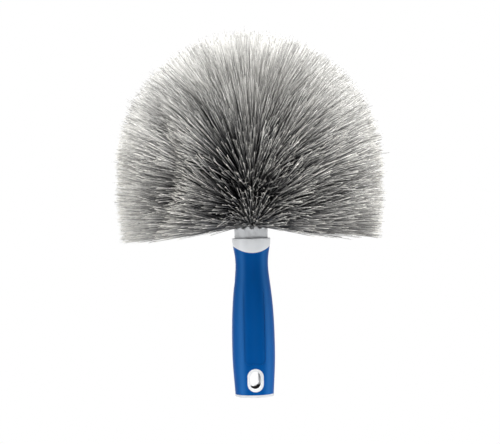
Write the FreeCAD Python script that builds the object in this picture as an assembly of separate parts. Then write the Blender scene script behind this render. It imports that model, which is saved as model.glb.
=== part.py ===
import FreeCAD, Part
import math
import os

# Cobweb brush: a dome of flared bristle tufts on a moulded block, held in a two-shot handle.
# Millimetres, +Z up through the head, origin at the centre of the pole socket's mouth,
# front of the handle towards -Y.

# Handle outline
handle_length = 148.5
rim_height = 2.5
rim_edge = 1.0
foot_radius = 18.3
belly_radius = 20.4
belly_height = 48.0
waist_radius = 15.6
waist_drop = 24.5
waist_height = handle_length - waist_drop
collar_radius = 18.1
collar_edge = 0.8
foot_lean_share = 0.03
foot_pull_share = 0.45
belly_lower_pull_share = 0.40
belly_upper_pull_share = 0.65
waist_lower_pull_share = 0.20
waist_upper_pull_share = 0.45
collar_pull_share = 0.35

# Grip moulded over the core
grip_wall = 2.2
grip_sink = 0.25
scoop_radius = 26.8
collar_front_height = 13.7
panel_width = 19.5
panel_foot = 31.0
panel_top = 101.5
panel_corner = 4.0
panel_depth = 0.5

# Hang hole and its white eyelet
hang_height = 16.3
hang_width = 9.9
hang_length = 16.5
eyelet_wall = 2.6

# Inside of the handle core
socket_radius = 12.85
socket_depth = 60.0
hollow_radius = 9.0
web_thickness = 4.0
spigot_radius = 12.0
spigot_length = 20.0
spigot_clearance = 0.1
key_width = 4.0
key_reach = 1.5
key_length = 9.0

# Screw that holds the block
screw_radius = 2.0
screw_grip_length = 14.0
screw_tip_length = 3.0
screw_head_radius = 4.0
screw_head_height = 2.6
screw_head_crown_share = 0.45
screw_clearance = 0.3
pilot_clearance = 0.05
drive_width = 1.1
drive_span = 4.6
drive_depth = 1.3

# Brush block
crown_radius = 15.75
crown_height = 12.0
crown_edge = 0.5
wall_height = 58.0
dome_height = 30.0

# Head of bristles
head_radius = 123.5
head_height = 191.5
head_droop = 1.5
overall_height = handle_length + head_height

# Tuft rings, from the crown up: how many, how steep, and turned by what share of a step.
# The first rings stand on the block's straight wall, at shares of its height, the rest on its dome.
ring_counts = [12, 8, 8, 8, 8, 7, 3]
ring_slopes = [1.9, 10.0, 15.8, 21.9, 30.1, 38.9, 62.7]
ring_turn_shares = [0.0, 0.5, 0.0, 0.5, 0.0, 0.5, 0.0]
wall_ring_shares = [0.0, 0.25, 0.5, 0.75, 1.0]
hole_depth = 5.5
hole_wall = 0.7
mouth_flare_share = 0.65
mouth_flare_depth = 1.6
tuft_clearance = 0.05
tuft_spread_share = 0.95
tuft_excess_share = 0.3

# Locks that a tuft's bristles fan out in, laid in rows and columns inside its oval
lock_width = 9.0
lock_sides = 6
lock_fill_share = 0.94
lock_foot_share = 0.65
lock_sink = 1.5

# Staples in the tuft holes
staple_thickness = 0.4
staple_height = 1.5
staple_bite = 0.25
staple_lift = 1.2

# How far a cutting body runs past what it cuts
overrun = 5.0

origin = FreeCAD.Vector(0, 0, 0)
up = FreeCAD.Vector(0, 0, 1)
back = FreeCAD.Vector(0, 1, 0)


def point(radius, height):
    return FreeCAD.Vector(radius, 0, height)


def line(start, end):
    return Part.LineSegment(start, end).toShape()


def arc(start, middle, end):
    return Part.Arc(start, middle, end).toShape()


def curve(poles):
    bend = Part.BezierCurve()
    bend.setPoles(poles)
    return bend.toShape()


def turned(edges):
    """A solid of revolution round Z from a closed half outline in the XZ plane."""
    face = Part.Face(Part.Wire(edges))
    return face.revolve(origin, up, 360)


def corner(centre, radius, first, last):
    """An arc of a round edge, from one angle to another in degrees."""
    angles = [first, (first + last) / 2, last]
    turns = [math.radians(angle) for angle in angles]
    spots = [centre + point(radius * math.cos(turn), radius * math.sin(turn)) for turn in turns]
    return arc(*spots)


def handle_body(inset):
    """The handle's outside, sunk by an inset, as one turned solid."""
    foot = foot_radius - inset
    belly = belly_radius - inset
    waist = waist_radius - inset
    collar = collar_radius - inset
    lower = belly_height - rim_height
    middle = waist_height - belly_height
    top = handle_length - collar_edge
    upper = top - waist_height
    lean = foot + lower * foot_lean_share
    edges = [
        line(origin, point(foot - rim_edge, 0)),
        corner(point(foot - rim_edge, rim_edge), rim_edge, -90, 0),
        line(point(foot, rim_edge), point(foot, rim_height)),
        curve([
            point(foot, rim_height),
            point(lean, rim_height + lower * foot_pull_share),
            point(belly, belly_height - lower * belly_lower_pull_share),
            point(belly, belly_height),
        ]),
        curve([
            point(belly, belly_height),
            point(belly, belly_height + middle * belly_upper_pull_share),
            point(waist, waist_height - middle * waist_lower_pull_share),
            point(waist, waist_height),
        ]),
        curve([
            point(waist, waist_height),
            point(waist, waist_height + upper * waist_upper_pull_share),
            point(collar, top - upper * collar_pull_share),
            point(collar, top),
        ]),
        corner(point(collar - collar_edge, top), collar_edge, 0, 90),
        line(point(collar - collar_edge, handle_length), point(0, handle_length)),
        line(point(0, handle_length), origin),
    ]
    return turned(edges)


def through_bar(width, foot, top):
    """A box along Y through the whole handle, between two heights."""
    reach = belly_radius + overrun
    return Part.makeBox(width, reach * 2, top - foot, FreeCAD.Vector(-width / 2, -reach, foot))


def through_pin(radius, height):
    """A round bar along Y through the whole handle."""
    reach = belly_radius + overrun
    return Part.makeCylinder(radius, reach * 2, point(0, height) - back * reach, back)


def hang_bar(margin):
    """The hang hole's oval, widened by a margin, as a bar through the whole handle."""
    radius = hang_width / 2 + margin
    straight = (hang_length - hang_width) / 2
    foot = hang_height - straight
    top = hang_height + straight
    bar = through_bar(radius * 2, foot, top)
    return bar.fuse([through_pin(radius, foot), through_pin(radius, top)]).removeSplitter()


def panel_bar():
    """The grip panel's round-cornered outline as a bar through the whole handle."""
    bar = through_bar(panel_width, panel_foot, panel_top)
    edges = [edge for edge in bar.Edges if abs(edge.tangentAt(edge.FirstParameter).y) > 1 / 2]
    return bar.makeFillet(panel_corner, edges)


def grip_space():
    """The room that the grip fills between the core's skin and the handle's outside."""
    room = handle_body(0).cut(handle_body(grip_wall))
    room = room.cut(Part.makeCylinder(belly_radius, rim_height + overrun, point(0, -overrun)))
    room = room.cut(through_pin(scoop_radius, handle_length - collar_front_height + scoop_radius))
    return room.cut(hang_bar(eyelet_wall))


def spigot_foot():
    return handle_length - spigot_length


def spigot_key(clearance):
    """The rib along the spigot's back that stops the block from turning."""
    width = key_width + clearance * 2
    reach = spigot_radius + key_reach + clearance
    foot = handle_length - key_length - clearance
    return Part.makeBox(width, reach, handle_length - foot, FreeCAD.Vector(-width / 2, 0, foot))


def screw_seat():
    return spigot_foot() - web_thickness


def make_handle_core():
    core = handle_body(0).cut(grip_space())
    core = core.cut(Part.makeCylinder(socket_radius, socket_depth + overrun, point(0, -overrun)))
    core = core.cut(Part.makeCylinder(hollow_radius, screw_seat(), origin))
    well_radius = spigot_radius + spigot_clearance
    core = core.cut(Part.makeCylinder(well_radius, spigot_length + overrun, point(0, spigot_foot())))
    core = core.cut(spigot_key(spigot_clearance))
    core = core.cut(Part.makeCylinder(screw_radius + screw_clearance, handle_length, origin))
    return core.cut(hang_bar(0))


def make_grip_sleeve():
    sleeve = grip_space().common(handle_body(grip_sink))
    skin = handle_body(0).cut(handle_body(grip_sink + panel_depth))
    return sleeve.cut(skin.common(panel_bar()))


def make_head_screw():
    seat = screw_seat()
    face_radius = screw_head_radius * screw_head_crown_share
    bottom = seat - screw_head_height
    shoulder = seat - screw_head_height * screw_head_crown_share
    shank_top = seat + web_thickness + screw_grip_length
    tip = shank_top + screw_tip_length
    edges = [
        line(point(0, bottom), point(face_radius, bottom)),
        curve([point(face_radius, bottom), point(screw_head_radius, bottom), point(screw_head_radius, shoulder)]),
        line(point(screw_head_radius, shoulder), point(screw_head_radius, seat)),
        line(point(screw_head_radius, seat), point(screw_radius, seat)),
        line(point(screw_radius, seat), point(screw_radius, shank_top)),
        line(point(screw_radius, shank_top), point(0, tip)),
        line(point(0, tip), point(0, bottom)),
    ]
    screw = turned(edges)
    half = drive_span / 2
    for turn in (0, 90):
        corner_spot = FreeCAD.Vector(-half, -drive_width / 2, bottom - overrun)
        slot = Part.makeBox(drive_span, drive_width, drive_depth + overrun, corner_spot)
        slot.rotate(origin, up, turn)
        screw = screw.cut(slot)
    return screw


def ring_slope(ring):
    return math.radians(ring_slopes[ring])


def hole_pitch():
    """Distance between neighbouring hole floors in the lowest ring, which sizes every hole."""
    floor_radius = crown_radius - hole_depth * math.cos(ring_slope(0))
    return floor_radius * math.sin(math.pi / ring_counts[0]) * 2


def hole_radius():
    return (hole_pitch() - hole_wall) / 2


def mouth_radius(ring):
    """Distance of a ring's hole mouths from the axis, so that the hole floors keep their pitch."""
    if ring < len(wall_ring_shares):
        return crown_radius
    floor_radius = hole_pitch() / 2 / math.sin(math.pi / ring_counts[ring])
    return floor_radius + hole_depth * math.cos(ring_slope(ring))


def crown_top():
    return handle_length + crown_height


def wall_top():
    return crown_top() + wall_height


def mouth_height(ring):
    """Height of a ring's hole mouths on the wall or on the half ellipsoid of the dome."""
    if ring < len(wall_ring_shares):
        return crown_top() + wall_height * wall_ring_shares[ring]
    share = min(mouth_radius(ring) / crown_radius, 1)
    return wall_top() + dome_height * math.sqrt(1 - share * share)


def ring_placements(ring):
    """One placement per tuft: its Z runs out along the tuft, its X lies level."""
    count = ring_counts[ring]
    slope = ring_slope(ring)
    placements = []
    for index in range(count):
        turn = math.radians(360 * (index + ring_turn_shares[ring]) / count)
        outward = FreeCAD.Vector(math.cos(turn), math.sin(turn), 0)
        level = FreeCAD.Vector(-math.sin(turn), math.cos(turn), 0)
        axis = outward * math.cos(slope) + up * math.sin(slope)
        mouth = outward * mouth_radius(ring) + up * mouth_height(ring)
        turning = FreeCAD.Rotation(level, axis.cross(level), axis, "ZXY")
        placements.append(FreeCAD.Placement(mouth, turning))
    return placements


def placed(shape, placement):
    copy = shape.copy()
    copy.Placement = placement.multiply(copy.Placement)
    return copy


def tuft_length(ring):
    """How far a ring's tufts run from their mouths along their slope to the clipped outside."""
    slope = ring_slope(ring)
    start = point(mouth_radius(ring), mouth_height(ring))
    centre = point(0, overall_height - head_radius)
    level_run = (head_radius - start.x) / math.cos(slope)
    if start.z + level_run * math.sin(slope) <= centre.z:
        return level_run
    along = (start - centre).dot(point(math.cos(slope), math.sin(slope)))
    apart = (start - centre).Length
    return math.sqrt(along * along - apart * apart + head_radius * head_radius) - along


def ring_tip(ring):
    """Where the middle of a ring's tufts meets the clipped outside."""
    slope = ring_slope(ring)
    start = point(mouth_radius(ring), mouth_height(ring))
    return start + point(math.cos(slope), math.sin(slope)) * tuft_length(ring)


def tip_widths(ring):
    """A tuft's half widths at its tip, level and upright, which leave its neighbours their room."""
    slope = ring_slope(ring)
    across = point(-math.sin(slope), math.cos(slope))
    tip = ring_tip(ring)
    below = point(head_radius, handle_length - head_droop)
    if ring > 0:
        below = (tip + ring_tip(ring - 1)) / 2
    above = point(0, overall_height)
    if ring < len(ring_counts) - 1:
        above = (tip + ring_tip(ring + 1)) / 2
    upright = min((tip - below).dot(across), (above - tip).dot(across))
    level = tip.x * math.sin(math.pi / ring_counts[ring])
    return level * tuft_spread_share, upright * tuft_spread_share


def lock_places(columns, rows):
    """Where a tuft's locks stand, as shares of its half widths, in a grid with its corners left out."""
    places = []
    for row in range(rows):
        for column in range(columns):
            across = (column * 2 + 1) / columns - 1
            along = (row * 2 + 1) / rows - 1
            if across**4 + along**4 < 1:
                places.append((across, along))
    return places


def trim_body():
    """The head's clipped outside: a round column under a half ball."""
    centre = overall_height - head_radius
    edges = [
        line(origin, point(head_radius, 0)),
        line(point(head_radius, 0), point(head_radius, centre)),
        corner(point(0, centre), head_radius, 0, 90),
        line(point(0, overall_height), origin),
    ]
    return turned(edges)


def staple_blank():
    """One flat staple across its hole, lying in the plane of the tuft's slope."""
    span = (hole_radius() + staple_bite) * 2
    foot = staple_lift - hole_depth
    corner_spot = FreeCAD.Vector(-staple_thickness / 2, -span / 2, foot)
    return Part.makeBox(staple_thickness, span, staple_height, corner_spot)


def make_staples():
    spots = [spot for ring in range(len(ring_counts)) for spot in ring_placements(ring)]
    return Part.makeCompound([placed(staple_blank(), spot) for spot in spots])


def flat_face(spots):
    return Part.Face(Part.makePolygon(spots + spots[:1]))


def lock_section(middle, half_level, half_upright):
    """The corners of a many-sided section across a lock."""
    turns = [2 * math.pi * side / lock_sides for side in range(lock_sides)]
    return [
        middle + FreeCAD.Vector(half_level * math.cos(turn), half_upright * math.sin(turn), 0)
        for turn in turns
    ]


def lock_body(foot, end):
    """A flat-sided solid between two sections."""
    sides = [flat_face([foot[side - 1], foot[side], end[side], end[side - 1]]) for side in range(lock_sides)]
    return Part.Solid(Part.Shell([flat_face(foot[::-1]), flat_face(end)] + sides))


def make_locks(ring):
    """A tuft's locks: slim pyramids that fan out from inside its root to past the clipped outside."""
    level, upright = tip_widths(ring)
    columns = max(int(level * 2 / lock_width), 1)
    rows = max(int(upright * 2 / lock_width), 1)
    half_level = level / columns * lock_fill_share
    half_upright = upright / rows * lock_fill_share
    foot_spread = (hole_radius() - tuft_clearance) * lock_foot_share
    foot_scale = foot_spread / max(columns, rows) / max(half_level, half_upright) * lock_fill_share
    end_scale = foot_scale + (1 - foot_scale) * (1 + tuft_excess_share)
    locks = []
    for across, along in lock_places(columns, rows):
        foot = FreeCAD.Vector(across * foot_spread, along * foot_spread, -lock_sink)
        tip = FreeCAD.Vector(across * level, along * upright, tuft_length(ring))
        end = foot + (tip - foot) * (1 + tuft_excess_share)
        first = lock_section(foot, half_level * foot_scale, half_upright * foot_scale)
        last = lock_section(end, half_level * end_scale, half_upright * end_scale)
        locks.append(lock_body(first, last))
    return locks


def make_tufts(ring):
    """A ring's tufts: a round root in the hole, cut by its staple, and locks clipped at the outside."""
    spots = ring_placements(ring)
    outside = trim_body()
    outside.rotate(origin, up, 180)
    outside = placed(outside, spots[0].inverse())
    locks = [lock.common(outside) for lock in make_locks(ring)]
    root = Part.makeCylinder(hole_radius() - tuft_clearance, hole_depth, up * -hole_depth)
    tuft = root.cut(staple_blank()).fuse(locks)
    return [placed(tuft, spot) for spot in spots]


def hole_cutter():
    """A blind tuft hole with a flared mouth."""
    radius = hole_radius()
    flare = radius * (1 + mouth_flare_share)
    slant = (flare - radius) / mouth_flare_depth
    hole = Part.makeCylinder(radius, hole_depth + overrun, up * -hole_depth)
    wide = flare + slant * overrun
    mouth = Part.makeCone(radius, wide, mouth_flare_depth + overrun, up * -mouth_flare_depth)
    return hole.fuse(mouth)


def make_brush_block():
    foot = handle_length
    top = wall_top()
    dome = Part.makeSphere(crown_radius)
    stretch = FreeCAD.Matrix()
    stretch.scale(1, 1, dome_height / crown_radius)
    dome = dome.transformGeometry(stretch)
    dome.translate(up * top)
    dome = dome.common(Part.makeCylinder(crown_radius + overrun, dome_height + overrun, up * top))
    crown = turned([
        line(point(0, foot), point(crown_radius - crown_edge, foot)),
        line(point(crown_radius - crown_edge, foot), point(crown_radius, foot + crown_edge)),
        line(point(crown_radius, foot + crown_edge), point(crown_radius, top)),
        line(point(crown_radius, top), point(0, top)),
        line(point(0, top), point(0, foot)),
    ])
    spigot = Part.makeCylinder(spigot_radius, spigot_length, up * spigot_foot())
    block = crown.fuse([dome, spigot, spigot_key(0)]).removeSplitter()
    pilot_depth = screw_grip_length + screw_tip_length
    block = block.cut(Part.makeCylinder(screw_radius + pilot_clearance, pilot_depth, up * spigot_foot()))
    for ring in range(len(ring_counts)):
        spots = ring_placements(ring)
        block = block.cut([placed(hole_cutter(), spot) for spot in spots])
        block = block.cut([placed(staple_blank(), spot) for spot in spots])
    return block


def save(name, shape):
    shape.exportStep("parts/" + name + ".step")


os.makedirs("parts", exist_ok=True)
save("handle_core", make_handle_core())
save("grip_sleeve", make_grip_sleeve())
save("head_screw", make_head_screw())
save("brush_block", make_brush_block())
save("staples", make_staples())
for ring in range(len(ring_counts)):
    number = str(ring + 1)
    for index, tuft in enumerate(make_tufts(ring)):
        save("tuft_" + number + "_" + str(index + 1).zfill(2), tuft)
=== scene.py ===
import math

import bpy
import mathutils
import numpy as np
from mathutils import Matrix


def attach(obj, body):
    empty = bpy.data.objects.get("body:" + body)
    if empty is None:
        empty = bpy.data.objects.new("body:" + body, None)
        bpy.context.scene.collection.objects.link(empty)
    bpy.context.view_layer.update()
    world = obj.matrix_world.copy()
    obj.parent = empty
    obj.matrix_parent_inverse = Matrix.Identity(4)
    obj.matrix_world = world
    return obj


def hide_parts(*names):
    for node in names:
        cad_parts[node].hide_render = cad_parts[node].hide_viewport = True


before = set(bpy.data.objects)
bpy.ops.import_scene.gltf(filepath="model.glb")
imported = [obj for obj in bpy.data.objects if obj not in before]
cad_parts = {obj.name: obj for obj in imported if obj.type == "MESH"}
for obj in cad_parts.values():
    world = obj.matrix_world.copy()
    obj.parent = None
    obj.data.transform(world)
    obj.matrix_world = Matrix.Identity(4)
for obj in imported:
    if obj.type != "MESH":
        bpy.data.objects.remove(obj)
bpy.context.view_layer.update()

bpy.context.scene.view_settings.view_transform = "Standard"


# finishes


class Wire:
    # one socket of a node tree; sums on it add Math nodes
    def __init__(self, finish, socket):
        self.finish = finish
        self.socket = socket

    def sum(self, operation, first, second):
        return self.finish.node("ShaderNodeMath", {"operation": operation}, {0: first, 1: second})[0]

    def __add__(self, other):
        return self.sum("ADD", self, other)

    def __radd__(self, other):
        return self.sum("ADD", other, self)

    def __sub__(self, other):
        return self.sum("SUBTRACT", self, other)

    def __rsub__(self, other):
        return self.sum("SUBTRACT", other, self)

    def __mul__(self, other):
        return self.sum("MULTIPLY", self, other)

    def __rmul__(self, other):
        return self.sum("MULTIPLY", other, self)

    def __pow__(self, other):
        return self.sum("POWER", self, other)

    def __rpow__(self, other):
        return self.sum("POWER", other, self)


class Finish:
    # the node tree of a material or a world, with one way to add a node
    def __init__(self, owner):
        owner.use_nodes = True
        self.owner = owner
        self.tree = owner.node_tree
        self.tree.nodes.clear()

    def node(self, kind, settings=None, sockets=None):
        made = self.tree.nodes.new(kind)
        for key, value in (settings or {}).items():
            if key == "stops":
                ramp = made.color_ramp
                while len(ramp.elements) < len(value):
                    ramp.elements.new(1.0)
                for element, (place, colour) in zip(ramp.elements, value):
                    element.position = place
                    element.color = colour
            else:
                setattr(made, key, value)
        for key, value in (sockets or {}).items():
            if isinstance(value, Wire):
                self.tree.links.new(value.socket, made.inputs[key])
            else:
                made.inputs[key].default_value = value
        return [Wire(self, socket) for socket in made.outputs]

    def blend(self, share, first, second, kind="MIX"):
        settings = {"data_type": "RGBA", "blend_type": kind}
        return self.node("ShaderNodeMix", settings, {0: share, 6: first, 7: second})[2]

    def vector(self, operation, *inputs):
        return self.node("ShaderNodeVectorMath", {"operation": operation}, dict(enumerate(inputs)))

    def noise(self, place, scale, detail=2.0, roughness=0.5):
        sockets = {"Vector": place, "Scale": scale, "Detail": detail, "Roughness": roughness}
        return self.node("ShaderNodeTexNoise", {}, sockets)[0]

    def place(self):
        # the piece's own coordinates, in metres
        return self.node("ShaderNodeTexCoord")[3]

    def height(self, place):
        return self.node("ShaderNodeSeparateXYZ", {}, {0: place})[2]

    def level(self, place):
        # the way out from the handle's axis
        return self.vector("MULTIPLY", place, (1.0, 1.0, 0.0))[0]

    def fade(self, value, start, stop, kind="LINEAR"):
        # 0 at start and before it, 1 at stop and past it
        sockets = {"Value": value, "From Min": start, "From Max": stop}
        return self.node("ShaderNodeMapRange", {"interpolation_type": kind}, sockets)[0]

    def surface(self, **sockets):
        named = {key.replace("_", " "): value for key, value in sockets.items()}
        shader = self.node("ShaderNodeBsdfPrincipled", {}, named)[0]
        self.node("ShaderNodeOutputMaterial", {}, {"Surface": shader})
        return self.owner

    def plastic(self, look, place, cloud, colour):
        # fine grain as a bump, and a roughness that drifts with the clouds
        grain = self.noise(place, look["grain"])
        sockets = {"Strength": look["grainStrength"], "Distance": look["grainDepth"], "Height": grain}
        return self.surface(
            Base_Color=colour,
            Roughness=look["roughness"] + look["roughnessDrift"] * (cloud - 0.5),
            Normal=self.node("ShaderNodeBump", {}, sockets)[0],
            Specular_IOR_Level=look["shine"],
        )


def newFinish(name):
    return Finish(bpy.data.materials.new(name))


def rgb(red, green, blue):
    # screen values 0-255 to linear light
    share = np.array([red, green, blue]) / 255.0
    linear = np.where(share <= 0.04045, share / 12.92, ((share + 0.055) / 1.055) ** 2.4)
    return (*linear.tolist(), 1.0)


# white moulded plastic: core, collar, eyelet, crown

whiteLook = {
    "clean": rgb(240, 242, 244),
    "dull": rgb(230, 232, 235),
    "cloud": 60.0,           # scale of the drift between the two
    "cloudDetail": 3.0,
    "roughness": 0.34,
    "roughnessDrift": 0.10,
    "grain": 2600.0,
    "grainStrength": 0.05,
    "grainDepth": 0.0002,
    "shine": 0.30,
}


def whiteClouds(finish, place):
    cloud = finish.noise(place, whiteLook["cloud"], whiteLook["cloudDetail"])
    return cloud, finish.blend(cloud, whiteLook["clean"], whiteLook["dull"])


# the handle's core: white outside and at the eyelet; painted shade makes it dark inside its socket, up to
# a height, and greys its end band

coreLook = {
    # painted shade: the colour inside the socket's foot, which lies in shade
    "inside": rgb(26, 24, 23),
    "insideTo": 0.01300,     # radius of the socket
    "outsideFrom": 0.01315,
    "deepTo": 0.0090,        # height of its shaded foot
    "lightFrom": 0.0120,
    # painted shade: the end band a little darker, for the light falling off round its rim
    "endBandShade": rgb(216, 218, 221),
    "bandTo": 0.0026,        # height of the end band
    "bandOver": 0.0029,
}


def corePlastic():
    finish = newFinish("core_plastic")
    place = finish.place()
    cloud, colour = whiteClouds(finish, place)
    radius = finish.vector("LENGTH", finish.level(place))[1]
    height = finish.height(place)
    outside = finish.fade(radius, coreLook["insideTo"], coreLook["outsideFrom"])
    above = finish.fade(height, coreLook["deepTo"], coreLook["lightFrom"])
    foot = finish.fade(height, coreLook["bandOver"], coreLook["bandTo"])
    # painted shade inside the socket's foot
    colour = finish.blend((1.0 - outside) * (1.0 - above), colour, coreLook["inside"])
    # painted shade on the end band
    colour = finish.blend(outside * foot, colour, coreLook["endBandShade"])
    return finish.plastic(whiteLook, place, cloud, colour)


# the block: white at the crown, with painted shade dark above it among the bristles

blockLook = {
    "blockShade": rgb(24, 24, 25),
    "whiteTo": 0.1602,
    "darkFrom": 0.1612,
}


def blockPlastic():
    finish = newFinish("block_plastic")
    place = finish.place()
    cloud, colour = whiteClouds(finish, place)
    # painted shade: dark above the crown, where the bristles shade the block
    above = finish.fade(finish.height(place), blockLook["whiteTo"], blockLook["darkFrom"])
    colour = finish.blend(above, colour, blockLook["blockShade"])
    return finish.plastic(whiteLook, place, cloud, colour)


# blue grip, with painted highlights down its sides

gripLook = {
    "deep": rgb(0, 74, 146),
    "worn": rgb(0, 84, 158),
    "cloud": 90.0,           # scale of the drift between the two
    "cloudDetail": 4.0,
    "cloudRoughness": 0.55,
    "cloudStretch": (1.0, 1.0, 0.25),    # drawn out along the handle
    # painted highlight: the colour of the soft bands down the sides, standing in for the side lamps'
    # reflections
    "paintedLight": rgb(44, 112, 182),
    "highlightAt": 0.66,         # how far round the side the soft paler bands lie, 1 at the edge
    "highlightWidth": 0.17,
    "highlightShare": 0.62,
    "roughness": 0.36,
    "roughnessDrift": 0.12,
    "grain": 3200.0,
    "grainStrength": 0.10,
    "grainDepth": 0.0002,
    "shine": 0.04,
}


def bluePlastic():
    finish = newFinish("blue_grip")
    place = finish.place()
    flow = finish.node("ShaderNodeMapping", {}, {"Vector": place, "Scale": gripLook["cloudStretch"]})[0]
    cloud = finish.noise(flow, gripLook["cloud"], gripLook["cloudDetail"], gripLook["cloudRoughness"])
    colour = finish.blend(cloud, gripLook["deep"], gripLook["worn"])
    outward = finish.vector("NORMALIZE", finish.level(place))[0]
    outward = finish.vector("ABSOLUTE", outward)[0]
    across = finish.node("ShaderNodeSeparateXYZ", {}, {0: outward})[0]
    # the painted highlight bands: e to the power of minus the squared distance from their middle, in
    # widths
    off = (across - gripLook["highlightAt"]) * (1.0 / gripLook["highlightWidth"])
    paintedHighlight = gripLook["highlightShare"] * math.e ** (-1.0 * off * off)
    colour = finish.blend(paintedHighlight, colour, gripLook["paintedLight"])
    return finish.plastic(gripLook, place, cloud, colour)


# steel of the screw and the staples

steelLook = {
    "bright": rgb(178, 180, 184),
    "dull": rgb(140, 142, 146),
    "cloud": 700.0,          # scale of the drift between the two
    "cloudDetail": 3.0,
    "roughness": 0.28,
    "dullRoughness": 0.14,   # added where it is dull
}


def plainSteel():
    finish = newFinish("screw_steel")
    cloud = finish.noise(finish.place(), steelLook["cloud"], steelLook["cloudDetail"])
    return finish.surface(
        Base_Color=finish.blend(cloud, steelLook["bright"], steelLook["dull"]),
        Metallic=1.0,
        Roughness=steelLook["roughness"] + steelLook["dullRoughness"] * cloud,
    )


# bristles: their colours, with painted shade and light

colourLook = {
    # painted shade: each filament darkens from its tip to its root, where the filaments shade each other;
    # the paler tips are also their split ends
    "stops": [
        (0.0, rgb(38, 38, 39)),          # root
        (0.50, rgb(62, 62, 64)),
        (0.80, rgb(134, 134, 134)),
        (0.93, rgb(177, 176, 173)),
        (1.0, rgb(198, 196, 190)),       # tip
    ],
    # painted light and shade on top of the head: from this height the shafts are painted paler and the
    # tips darker, so they look alike
    "topLightFrom": 0.220,      # height from which shafts and tips are more alike
    "topLightTo": 0.285,
    "paintedLight": 0.95,
    "topLightStop": 0.93,       # the stop that they come near
    "contrast": 1.9,         # between filaments of different shade, at the root
    "tipLoss": 0.7,          # less of it at the tip
    "topLoss": 0.28,         # and on top of the head
    "roughness": 0.26,
    "tipRoughness": 0.25,    # added at the tip
    "shine": 0.2,
}


def bristleFinish():
    # u runs from root to tip, v is the filament's own shade
    look = colourLook
    finish = newFinish("bristle")
    bake = finish.node("ShaderNodeUVMap", {"uv_map": "OFBake"})[0]
    along, shade, _ = finish.node("ShaderNodeSeparateXYZ", {}, {0: bake})
    # painted light: high on the head the ramp moves towards one stop, for paler shafts and darker tips
    topLight = finish.fade(finish.height(finish.place()), look["topLightFrom"], look["topLightTo"])
    toTip = along + look["paintedLight"] * topLight * (look["topLightStop"] - along)
    base = finish.node("ShaderNodeValToRGB", {"stops": look["stops"]}, {"Fac": toTip})[0]
    contrast = (look["contrast"] - look["tipLoss"] * along) * (1.0 - look["topLoss"] * topLight)
    share = 1.0 + (shade - 0.5) * contrast
    light = finish.node("ShaderNodeCombineXYZ", {}, {axis: share for axis in range(3)})[0]
    return finish.surface(
        Base_Color=finish.blend(1.0, base, light, "MULTIPLY"),
        Roughness=look["roughness"] + look["tipRoughness"] * along,
        Specular_IOR_Level=look["shine"],
    )


def unit(vectors):
    return vectors / np.linalg.norm(vectors, axis=-1, keepdims=True)


def bell(distance, width):
    # 1 in the middle: e to the power of minus the squared distance, in widths
    return np.exp(-((distance / width) ** 2))


def nearest(points, targets):
    # index of the target closest to each point: largest of p.q - |q|^2 / 2
    return np.argmax(points @ targets.T - (targets**2).sum(1) / 2, 1)


# the block's holes, which the tufts stand in

blockShape = {
    "crownRadius": 0.01575,
    "crownTop": 0.1605,
    "wallHeight": 0.058,
    "domeHeight": 0.030,
    "domeShare": 0.97,       # of the dome's height, where the highest roots are
    "skin": 0.0012,          # roots lie at least this far under the surface
    "holeDepth": 0.0055,
    "holeWall": 0.0007,
    "counts": (12, 8, 8, 8, 8, 7, 3),
    "slopes": (1.9, 10.0, 15.8, 21.9, 30.1, 38.9, 62.7),
    "turns": (0.0, 0.5, 0.0, 0.5, 0.0, 0.5, 0.0),
    "wallRings": (0.0, 0.25, 0.5, 0.75, 1.0),      # shares of the wall's height
}


def tuftSeats():
    # each hole's mouth, axis and level direction: rings up the block's wall, then on the half ellipsoid
    # of its dome, spaced so that the hole floors keep the lowest ring's pitch
    shape = blockShape
    slopes = np.radians(shape["slopes"])
    counts = np.array(shape["counts"])
    walls = len(shape["wallRings"])
    floor = shape["crownRadius"] - shape["holeDepth"] * math.cos(slopes[0])
    pitch = 2 * floor * math.sin(math.pi / counts[0])
    mouthRadius = pitch / 2 / np.sin(np.pi / counts) + shape["holeDepth"] * np.cos(slopes)
    mouthRadius[:walls] = shape["crownRadius"]
    share = np.minimum(mouthRadius / shape["crownRadius"], 1.0)
    mouthHeight = shape["crownTop"] + shape["wallHeight"] + shape["domeHeight"] * np.sqrt(1 - share**2)
    mouthHeight[:walls] = shape["crownTop"] + shape["wallHeight"] * np.array(shape["wallRings"])
    names, mouths, axes, levels = [], [], [], []
    for ring, count in enumerate(counts):
        turn = 2 * np.pi * (np.arange(count) + shape["turns"][ring]) / count
        outward = np.stack([np.cos(turn), np.sin(turn), np.zeros(count)], 1)
        upward = np.array([0.0, 0.0, 1.0])
        mouths.append(outward * mouthRadius[ring] + upward * mouthHeight[ring])
        axes.append(outward * math.cos(slopes[ring]) + upward * math.sin(slopes[ring]))
        levels.append(np.stack([-np.sin(turn), np.cos(turn), np.zeros(count)], 1))
        names += [f"{ring + 1}_{index + 1:02d}" for index in range(count)]
    holeRadius = (pitch - shape["holeWall"]) / 2
    return names, np.concatenate(mouths), np.concatenate(axes), np.concatenate(levels), holeRadius


def insideBlock(roots):
    # draws roots in to just under the block's skin: a column, then a half ellipsoid over it
    shape = blockShape
    wallTop = shape["crownTop"] + shape["wallHeight"]
    rise = np.clip((roots[:, 2] - wallTop) / shape["domeHeight"], 0, shape["domeShare"])
    reach = shape["crownRadius"] * np.sqrt(1 - rise**2) - shape["skin"]
    share = np.minimum(reach / np.linalg.norm(roots[:, :2], axis=1), 1.0)
    height = np.minimum(roots[:, 2], wallTop + shape["domeShare"] * shape["domeHeight"])
    return np.stack([roots[:, 0] * share, roots[:, 1] * share, height], 1)


# the head as it is clipped: a column with a half ball over it

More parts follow.
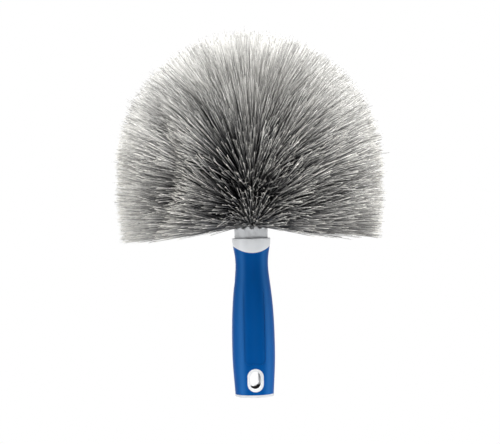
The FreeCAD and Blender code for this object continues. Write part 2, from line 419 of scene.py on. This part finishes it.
headShape = {
    "radius": 0.1258,
    "top": 0.3425,
    "foot": 0.1470,
    "frontFoot": 0.1598,     # parted in front of the crown
    "backFoot": 0.1560,
    "frontTurn": -93.8,      # degrees
    "frontWidth": 20.0,
    "backWidth": 30.0,
    "steps": 4000,           # of the profile on which points are spread
}


def domeEnds(mouths, axes):
    # where each tuft's axis meets the clipped head: the column below the ball's centre, the ball above it
    radius, centre = headShape["radius"], headShape["top"] - headShape["radius"]
    level = (radius - np.linalg.norm(mouths[:, :2], axis=1)) / np.linalg.norm(axes[:, :2], axis=1)
    start = mouths - np.array([0.0, 0.0, centre])
    along = (start * axes).sum(1)
    ball = np.sqrt(along**2 - (start**2).sum(1) + radius**2) - along
    reach = np.where(start[:, 2] + level * axes[:, 2] <= 0, level, ball)
    return mouths + axes * reach[:, None]


def footLine(turn):
    # height of the lower edge, which rises in a bell round the front and another round the back
    foot = headShape["foot"]
    aside = (np.degrees(turn) - headShape["frontTurn"] + 180) % 360 - 180
    front = bell(aside, headShape["frontWidth"])
    back = bell(180 - np.abs(aside), headShape["backWidth"])
    return foot + (headShape["frontFoot"] - foot) * front + (headShape["backFoot"] - foot) * back


def domePoints(count, turnStart):
    # even by area on the clipped head: arc length up a column and over a half ball gives the height,
    # the golden angle gives the turn, and heights in the column are squeezed to start at the lower edge
    radius, foot = headShape["radius"], headShape["foot"]
    centre = headShape["top"] - radius
    arc = np.linspace(0, centre - foot + radius * np.pi / 2, headShape["steps"])
    bend = np.maximum(arc - (centre - foot), 0) / radius
    reach = radius * np.cos(bend)
    height = np.where(bend > 0, centre + radius * np.sin(bend), foot + arc)
    area = np.concatenate([[0], np.cumsum((reach[1:] + reach[:-1]) / 2 * np.diff(arc))])
    wanted = (np.arange(count) + 0.5) / count * area[-1]
    place = np.interp(wanted, area, arc)
    turn = turnStart + np.arange(count) * np.pi * (3 - math.sqrt(5))
    outward = np.interp(place, arc, reach)
    upward = np.interp(place, arc, height)
    low = footLine(turn)
    squeezed = low + (upward - foot) * (centre - low) / (centre - foot)
    upward = np.where(upward < centre, squeezed, upward)
    return np.stack([outward * np.cos(turn), outward * np.sin(turn), upward], 1)


# worn places: a thin patch in front, where the tips are uneven, a step on the front's left,
# and a shorter foot

wornLook = {
    "patchHeight": 0.200,
    "patchAside": -0.003,
    "patchWidth": 0.036,
    "patchTall": 0.042,
    "thinned": 0.30,         # share of filaments lost in its middle
    "uneven": 0.012,
    "stepTurn": 50.0,        # degrees from the left side to the front
    "stepBend": 9.0,
    "stepHeight": 0.212,
    "stepTall": 0.045,
    "stepEnds": 2.2,         # how far up and down it goes, in stepTall
    "stepOver": 34.0,        # degrees over which it fades
    "stepDepth": 0.012,
    "stepScatter": 0.0025,
    "stepGather": 0.30,      # how near its line the tips in front of it draw
    # painted light: the tips round the step painted paler
    "stepPaintedLight": 0.20,       # paler round it
    "paleOver": 0.6,         # as far in front of it, in stepOver
    "paleFrom": -15.0,       # and from this turn on
    "paleTop": 1.6,          # up to here, in stepTall
    "lowDraw": 0.030,        # the lowest filaments are shorter
    "lowFrom": 0.178,
    "lowOver": 0.030,
}


def wornPatch(tips):
    # 1 in the patch's middle, falling off as a bell across and up, none at the back
    across = bell(tips[:, 0] - wornLook["patchAside"], wornLook["patchWidth"])
    upward = bell(tips[:, 2] - wornLook["patchHeight"], wornLook["patchTall"])
    return across * upward * (tips[:, 1] < 0)


def wornStep(tips):
    # degrees past the step's line, which bends with the square of the height; from them a cut that
    # starts at the line and fades in front of it, a turn that draws those tips to the line, and 1 for
    # the tips painted paler round the step, as painted light
    look = wornLook
    turn = np.degrees(np.arctan2(-tips[:, 1], -tips[:, 0]))
    upward = (tips[:, 2] - look["stepHeight"]) / look["stepTall"]
    past = turn - (look["stepTurn"] - look["stepBend"] * upward**2)
    share = np.clip(past / look["stepOver"], 0, 1)
    front = (past > 0) * np.clip(look["stepEnds"] - np.abs(upward), 0, 1)
    cut = (1 - share) * front
    drawn = past * (1 - look["stepGather"]) * (1 - share**2) * front
    stepLit = (share < look["paleOver"]) * (turn > look["paleFrom"])
    return cut, np.radians(drawn), stepLit * np.clip(look["paleTop"] - upward, 0, 1)


# where the filaments end

tipLook = {
    "count": 15000,          # filaments in all, before the worn patch loses some
    "turn": 0.3,             # where the spiral of tips starts
    "scatter": 0.0012,
    "mixing": (0.003, 0.003, 0.009),     # how far neighbouring tufts reach into each other
    "gather": (0.008, 0.032),            # least and most share by which a tuft's tips draw together
    "lockSize": 4,           # filaments in a lock
    "lockTurn": 1.1,
    "lockScatter": 0.0035,
    "lockGather": (0.02, 0.16),          # least and most share by which a lock's tips draw together
    "lockUneven": 0.0007,    # spread of the clipped lengths from lock to lock
    "uneven": 0.0004,        # and within a lock
    "strayShare": 0.02,
    "stray": (0.001, 0.005), # how far stray tips stick out
    "droop": 0.0015,         # of the lowest tips
    "droopOver": 0.004,
}


def spreadTips(rng, ends):
    # even over the clipped head but for some scatter, and thinned in the worn patch; each tip belongs to
    # the tuft whose end is nearest and to the nearest lock, and goes a share of the way to both
    look = tipLook
    tips = domePoints(look["count"], look["turn"])
    tips = tips + rng.normal(0, look["scatter"], tips.shape)
    tips = tips[rng.random(len(tips)) > wornLook["thinned"] * wornPatch(tips)]
    count = len(tips)
    owner = nearest(tips + rng.normal(0, 1, tips.shape) * look["mixing"], ends)
    locks = domePoints(count // look["lockSize"], look["lockTurn"])
    locks = locks + rng.normal(0, look["lockScatter"], locks.shape)
    lock = nearest(tips, locks)
    tips = tips + (ends[owner] - tips) * rng.uniform(*look["gather"], (count, 1))
    tips = tips + (locks[lock] - tips) * rng.uniform(*look["lockGather"], (count, 1))
    low = np.exp((headShape["foot"] - tips[:, 2]) / look["droopOver"])
    tips[:, 2] -= look["droop"] * np.minimum(low, 1.0) * rng.random(count) ** 2
    return tips, owner, lock, len(locks)


def clippedTips(rng, tips, mouth, lock, lockCount):
    # each tip moves along its filament by its lock's length and its own, or by a stray length, less what
    # the worn patch and the step take; then it turns to the step's line, and the lowest tips draw inward
    look, worn = tipLook, wornLook
    count = len(tips)
    extra = rng.normal(0, look["lockUneven"], lockCount)[lock]
    extra = extra + rng.normal(0, look["uneven"], count)
    stray = rng.random(count) < look["strayShare"]
    extra = np.where(stray, rng.uniform(*look["stray"], count), extra)
    extra = extra - worn["uneven"] * wornPatch(tips) * rng.random(count)
    cut, drawn, stepLit = wornStep(tips + rng.normal(0, worn["stepScatter"], tips.shape))
    extra = extra - worn["stepDepth"] * cut
    x, y, z = (tips + unit(tips - mouth) * extra[:, None]).T
    inward = 1 - worn["lowDraw"] * np.clip((worn["lowFrom"] - z) / worn["lowOver"], 0, 1)
    across = x * np.cos(drawn) + y * np.sin(drawn)
    deep = y * np.cos(drawn) - x * np.sin(drawn)
    return np.stack([across * inward, deep * inward, z], 1), stepLit


# where they start

rootLook = {
    "fan": 0.30,             # sideways share of a filament that starts at its hole's rim
    "holeFill": 0.92,
    "scatter": 0.00012,
    "wideShare": 0.6,        # filaments rooted round the hole, not in it
    "wideScatter": 0.0016,
    "sink": 0.0015,
}


def rootPlaces(rng, tips, mouth, axis, level, holeRadius):
    # roots keep the order of the tips, so filaments don't cross in the hole
    look = rootLook
    upright = np.cross(axis, level)
    away = unit(tips - mouth)
    aside = np.stack([(away * level).sum(1), (away * upright).sum(1)], 1) / look["fan"]
    aside = aside / np.maximum(np.linalg.norm(aside, axis=1, keepdims=True), 1.0)
    fill = holeRadius * look["holeFill"]
    aside = aside * fill + rng.normal(0, look["scatter"], aside.shape)
    wide = rng.random((len(tips), 1)) < look["wideShare"]
    aside = aside + np.where(wide, rng.normal(0, look["wideScatter"], aside.shape), 0)
    roots = mouth + level * aside[:, :1] + upright * aside[:, 1:] - axis * look["sink"]
    lowest = blockShape["crownTop"] - np.where(wide[:, 0], blockShape["skin"], fill)
    roots[:, 2] = np.maximum(roots[:, 2], lowest)
    return insideBlock(roots)


# how they bend

bendLook = {
    "leaving": 0.18,         # pull of the hole's axis on the filament's first stretch
    "firstShare": 0.42,      # length of that stretch
    "bow": 0.0002,
    "arch": (0.0021, 0.0030),            # filaments that lie level to the sides rise, then sink
    "archFrom": 0.152,       # but not the lowest ones
    "archOver": 0.020,
    "archLeast": -0.3,       # which sag a little
}


def filamentBends(rng, roots, tips, mouth, axis):
    # root, handle, tip and bow of each filament, which leaves near its hole's axis, arches and bows
    # a little
    look = bendLook
    length = np.linalg.norm(tips - mouth, axis=1, keepdims=True)
    leaving = unit(look["leaving"] * axis + unit(tips - roots))
    handles = roots + leaving * length * look["firstShare"]
    bows = unit(np.cross(axis, rng.normal(size=axis.shape)))
    bows = bows * rng.normal(0, look["bow"], (len(axis), 1))
    lifted = np.clip((tips[:, 2] - look["archFrom"]) / look["archOver"], look["archLeast"], 1)
    bows[:, 2] += lifted * axis[:, 0] ** 2 * rng.uniform(*look["arch"], len(axis))
    return roots, handles, tips, bows


def course(root, handle, tip, bow, t):
    # a bend from the hole's axis to the tip with a bow on it:
    # (1 - t)^2 root + 2 t (1 - t) handle + t^2 tip + sin(pi t) bow
    t = t[..., None]
    bend = (1 - t) ** 2 * root[:, None] + 2 * t * (1 - t) * handle[:, None] + t**2 * tip[:, None]
    return bend + np.sin(np.pi * t) * bow[:, None]


# their tubes

tubeSides = 3


def tubes(centres, radii, side, other):
    # a three-sided tube round each row of centres: centre + radius * (cos * side + sin * other)
    corner = np.arange(tubeSides) * 2 * np.pi / tubeSides
    ring = side[:, None, None, :] * np.cos(corner)[:, None]
    ring = ring + other[:, None, None, :] * np.sin(corner)[:, None]
    return centres[:, :, None, :] + radii[:, :, None, None] * ring


def tubeFaces(count, rings, start):
    # walls between rings, and a triangle over each end
    first = start + np.arange(count)[:, None] * rings * tubeSides
    corner = np.arange(tubeSides)
    after = (corner + 1) % tubeSides
    near = first[:, :, None] + np.arange(rings - 1)[None, :, None] * tubeSides
    far = near + tubeSides
    walls = np.stack([near + corner, near + after, far + after, far + corner], -1)
    foot = first + np.array([0, 2, 1])
    tip = first + (rings - 1) * tubeSides + np.array([0, 1, 2])
    return walls.reshape(-1, 4), np.concatenate([foot, tip])


shaftLook = {
    "thickness": (0.000376, 0.000564),   # least and most at the root
    "tipShare": 0.80,        # of that, where the filament splits
    "rings": 6,              # along a filament
    "end": (0.97, 1.0),      # where along its course it splits
}


def shaftTubes(rng, bends):
    # radius at the root times 1 + (tip share - 1) * the square of the share along
    look = shaftLook
    count = len(bends[0])
    along = np.linspace(0, 1, look["rings"])[None, :] * rng.uniform(*look["end"], (count, 1))
    centres = course(*bends, along)
    heading = unit(centres[:, -1] - centres[:, -2])
    side = unit(np.cross(heading, rng.normal(size=heading.shape)))
    other = np.cross(heading, side)
    radii = rng.uniform(*look["thickness"], (count, 1)) / 2 * (1 + (look["tipShare"] - 1) * along**2)
    return tubes(centres, radii, side, other), along, side, other


# their shades, 0.5 the middle one

shadeLook = {
    "lock": 0.12,            # spread of lightness from lock to lock
    "own": 0.36,             # and from filament to filament
    "streak": 0.18,          # and from streak to streak
    "streakSize": 36,        # filaments in a streak of like shade
    "streakTurn": 2.3,
    "streakScatter": 0.006,
    "limits": (0.02, 0.98),
    "nudge": 0.006,          # keeps a filament's strip of the map open
}


def filamentShades(rng, tips, lock, lockCount, stepLit):
    look = shadeLook
    shade = rng.normal(0.5, look["lock"], lockCount)[lock] + rng.normal(0, look["own"], len(tips))
    streaks = domePoints(len(tips) // look["streakSize"], look["streakTurn"])
    streaks = streaks + rng.normal(0, look["streakScatter"], streaks.shape)
    shade = shade + rng.normal(0, look["streak"], len(streaks))[nearest(tips, streaks)]
    # painted light: the tips round the step paler
    return np.clip(shade + wornLook["stepPaintedLight"] * stepLit, *look["limits"])


# their split ends

wispLook = {
    "perFilament": 1,        # split ends on each filament
    "patchMore": 3.0,        # and more of them in the worn patch
    "patchLater": 0.025,
    "thickness": 0.00022,
    "taper": 0.35,           # lost at the tip
    "start": (0.92, 0.96),   # where along the filament they leave
    "end": (0.98, 1.004),
    "mapEnd": 0.99,
    "spread": 0.0007,
    "spreadPower": 1.4,
    "wave": 0.0002,
    "ownShade": 0.08,
    "rings": 4,
}


def splitEnds(rng, bends, side, other, shade):
    # they follow their filament's last stretch and draw apart:
    # course + spread * share^power + wave * sin(2 pi share), sideways in both directions
    look = wispLook
    patch = wornPatch(bends[2])
    number = look["perFilament"] + np.rint(look["patchMore"] * patch).astype(int)
    owner = np.repeat(np.arange(len(patch)), number)
    count = len(owner)
    share = np.linspace(0, 1, look["rings"])[None, :]
    first = rng.uniform(*look["start"], (count, 1)) + look["patchLater"] * patch[owner][:, None]
    last = rng.uniform(*look["end"], (count, 1))
    along = first + (last - first) * share
    apart = rng.normal(0, look["spread"], (count, 2, 1)) * share[:, None] ** look["spreadPower"]
    apart = apart + rng.normal(0, look["wave"], (count, 2, 1)) * np.sin(2 * np.pi * share)[:, None]
    side, other = side[owner], other[owner]
    centres = course(*[part[owner] for part in bends], along)
    centres = centres + side[:, None] * apart[:, 0, :, None] + other[:, None] * apart[:, 1, :, None]
    radii = look["thickness"] / 2 * np.broadcast_to(1 - look["taper"] * share, along.shape)
    shade = np.clip(shade[owner] + rng.normal(0, look["ownShade"], count), *shadeLook["limits"])
    return tubes(centres, radii, side, other), np.clip(along, 0, look["mapEnd"]), shade, owner


# one mesh for each tuft


def strip(walls, along, shade, start):
    # points, faces and map of some tubes, with points counted from start
    count, rings = along.shape
    quads, triangles = tubeFaces(count, rings, start)
    nudge = (np.arange(tubeSides) - 1) * shadeLook["nudge"]
    u = np.broadcast_to(along[:, :, None], (count, rings, tubeSides))
    v = np.broadcast_to(shade[:, None, None] + nudge, u.shape)
    return walls.reshape(-1, 3), quads, triangles, u.ravel(), v.ravel()


def meshFrom(name, points, quads, triangles, along, shade):
    mesh = bpy.data.meshes.new(name)
    mesh.vertices.add(len(points))
    mesh.vertices.foreach_set("co", points.astype(np.float32).ravel())
    corners = np.concatenate([quads.ravel(), triangles.ravel()]).astype(np.int32)
    mesh.loops.add(len(corners))
    mesh.loops.foreach_set("vertex_index", corners)
    mesh.polygons.add(len(quads) + len(triangles))
    starts = np.concatenate([np.arange(len(quads)) * 4, quads.size + np.arange(len(triangles)) * 3])
    mesh.polygons.foreach_set("loop_start", starts.astype(np.int32))
    mesh.polygons.foreach_set("use_smooth", np.ones(len(starts), dtype=bool))
    layer = mesh.uv_layers.new(name="OFBake")
    layer.data.foreach_set("uv", np.stack([along[corners], shade[corners]], 1).astype(np.float32).ravel())
    mesh.update(calc_edges=True)
    mesh.validate()
    piece = bpy.data.objects.new(name, mesh)
    bpy.context.collection.objects.link(piece)
    return piece


bristleSeed = 11


def bristleTufts(finish):
    rng = np.random.default_rng(bristleSeed)
    names, mouths, axes, levels, holeRadius = tuftSeats()
    tips, owner, lock, lockCount = spreadTips(rng, domeEnds(mouths, axes))
    mouth, axis, level = mouths[owner], axes[owner], levels[owner]
    tips, stepLit = clippedTips(rng, tips, mouth, lock, lockCount)
    roots = rootPlaces(rng, tips, mouth, axis, level, holeRadius)
    bends = filamentBends(rng, roots, tips, mouth, axis)
    shafts, along, side, other = shaftTubes(rng, bends)
    shade = filamentShades(rng, tips, lock, lockCount, stepLit)
    hairs, hairAlong, hairShade, hairOwner = splitEnds(rng, bends, side, other, shade)
    for index, name in enumerate(names):
        mine = owner == index
        hairsMine = mine[hairOwner]
        shaftStrip = strip(shafts[mine], along[mine], shade[mine], 0)
        start = len(shaftStrip[0])
        hairStrip = strip(hairs[hairsMine], hairAlong[hairsMine], hairShade[hairsMine], start)
        joined = [np.concatenate(pair) for pair in zip(shaftStrip, hairStrip)]
        piece = meshFrom("bristles_" + name, *joined)
        piece.data.materials.append(finish)
        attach(piece, "root")
        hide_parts("tuft_" + name)
    print("bristles:", len(tips), "filaments,", len(hairOwner), "split ends in", len(names), "tufts")


# finishes on the moulded and metal pieces


def dress(node, finish):
    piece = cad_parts[node]
    for slot in piece.material_slots:
        slot.material = finish


bristleTufts(bristleFinish())
dress("handle_core", corePlastic())
dress("brush_block", blockPlastic())
dress("grip_sleeve", bluePlastic())
steel = plainSteel()
dress("head_screw", steel)
dress("staples", steel)
print("finishes on the handle, block, screw and staples")


# studio

studio = {
    "fill": 0.12,            # strength of the white surround as a light
    "floor": -0.30,
    "floorRadius": 1.6,
    "floorSides": 96,
    "floorColour": (0.74, 0.74, 0.74, 1),
    "floorFade": (0.35, 0.95),           # shares of the radius over which it fades out
}


def studioWorld():
    # plain white to the camera and in reflections, dim as a light
    world = bpy.data.worlds.new("studio")
    bpy.context.scene.world = world
    finish = Finish(world)
    path = finish.node("ShaderNodeLightPath")
    camera, glossy, through = path[0], path[3], path[6]
    seen = finish.node("ShaderNodeMath", {"operation": "MAXIMUM"}, {0: camera, 1: glossy})[0]
    seen = finish.node("ShaderNodeMath", {"operation": "MAXIMUM"}, {0: seen, 1: through})[0]
    fill = finish.node("ShaderNodeBackground", {}, {"Color": (1, 1, 1, 1), "Strength": studio["fill"]})[0]
    white = finish.node("ShaderNodeBackground", {}, {"Color": (1, 1, 1, 1), "Strength": 1.0})[0]
    mixed = finish.node("ShaderNodeMixShader", {}, {0: seen, 1: fill, 2: white})[0]
    finish.node("ShaderNodeOutputWorld", {}, {"Surface": mixed})


def studioFloor():
    # a disc: radius times cosine and sine of the turn, fading to the white surround at its rim
    sides, radius = studio["floorSides"], studio["floorRadius"]
    turn = np.linspace(0, 2 * np.pi, sides, endpoint=False)
    points = np.stack([radius * np.cos(turn), radius * np.sin(turn), np.full(sides, studio["floor"])], 1)
    mesh = bpy.data.meshes.new("floor")
    mesh.from_pydata(points.tolist(), [], [list(range(sides))])
    floor = bpy.data.objects.new("floor", mesh)
    bpy.context.collection.objects.link(floor)
    finish = newFinish("pale_floor")
    away = finish.vector("LENGTH", finish.place())[1]
    start, stop = studio["floorFade"]
    rim = finish.fade(away, radius * start, radius * stop, "SMOOTHSTEP")
    matt = finish.node("ShaderNodeBsdfDiffuse", {}, {"Color": studio["floorColour"]})[0]
    clear = finish.node("ShaderNodeBsdfTransparent")[0]
    mixed = finish.node("ShaderNodeMixShader", {}, {0: rim, 1: matt, 2: clear})[0]
    finish.node("ShaderNodeOutputMaterial", {}, {"Surface": mixed})
    mesh.materials.append(finish.owner)


lampAim = (0, 0, 0.17)
lampLook = {
    "left_softbox": {"place": (-1.45, -0.60, 0.25), "width": 0.7, "height": 1.4, "watts": 9.8},
    "right_softbox": {"place": (1.42, -0.15, 0.25), "width": 1.2, "height": 1.4, "watts": 6.8},
    "high_left_softbox": {"place": (-1.1, -0.35, 1.25), "width": 0.8, "height": 0.8, "watts": 0.5},
    "high_right_softbox": {"place": (1.1, -0.35, 1.25), "width": 0.8, "height": 0.8, "watts": 6.0},
    "top_softbox": {"place": (0.15, -0.50, 1.6), "width": 1.4, "height": 1.0, "watts": 75.0},
    "front_softbox": {"place": (0.1, -1.9, 0.1), "width": 1.0, "height": 0.8, "watts": 3.0},
    "back_softbox": {"place": (-0.1, 1.9, 0.3), "width": 1.0, "height": 0.8, "watts": 7.0},
}


def softbox(name, place, width, height, watts):
    light = bpy.data.lights.new(name, "AREA")
    light.shape = "RECTANGLE"
    light.size = width
    light.size_y = height
    light.energy = watts
    lamp = bpy.data.objects.new(name, light)
    lamp.location = place
    facing = mathutils.Vector(lampAim) - mathutils.Vector(place)
    lamp.rotation_euler = facing.to_track_quat("-Z", "Y").to_euler()
    bpy.context.collection.objects.link(lamp)


cameraLook = {
    "distance": 1.40,
    "height": 0.1636,
    "yaw": 3.8,              # degrees towards the left of the front
    "roll": 1.3,             # degrees by which the head leans left in the frame
    "aside": 0.0007,
    "lens": 107.2,
    "sensor": 36.0,
    "nearest": 0.01,
}


def photoCamera():
    view = bpy.data.cameras.new("camera")
    view.sensor_width = cameraLook["sensor"]
    view.lens = cameraLook["lens"]
    view.clip_start = cameraLook["nearest"]
    camera = bpy.data.objects.new("camera", view)
    turn = math.radians(cameraLook["yaw"])
    away = mathutils.Vector((-math.sin(turn), -math.cos(turn), 0.0))
    across = mathutils.Vector((math.cos(turn), -math.sin(turn), 0.0))
    target = mathutils.Vector((0, 0, cameraLook["height"])) - across * cameraLook["aside"]
    camera.location = target + away * cameraLook["distance"]
    facing = (-away).to_track_quat("-Z", "Y")
    lean = mathutils.Quaternion((0, 0, 1), -math.radians(cameraLook["roll"]))
    camera.rotation_mode = "QUATERNION"
    camera.rotation_quaternion = facing @ lean
    bpy.context.collection.objects.link(camera)
    bpy.context.scene.camera = camera


studioWorld()
studioFloor()
for name, lamp in lampLook.items():
    softbox(name, **lamp)
photoCamera()
print("studio ready")
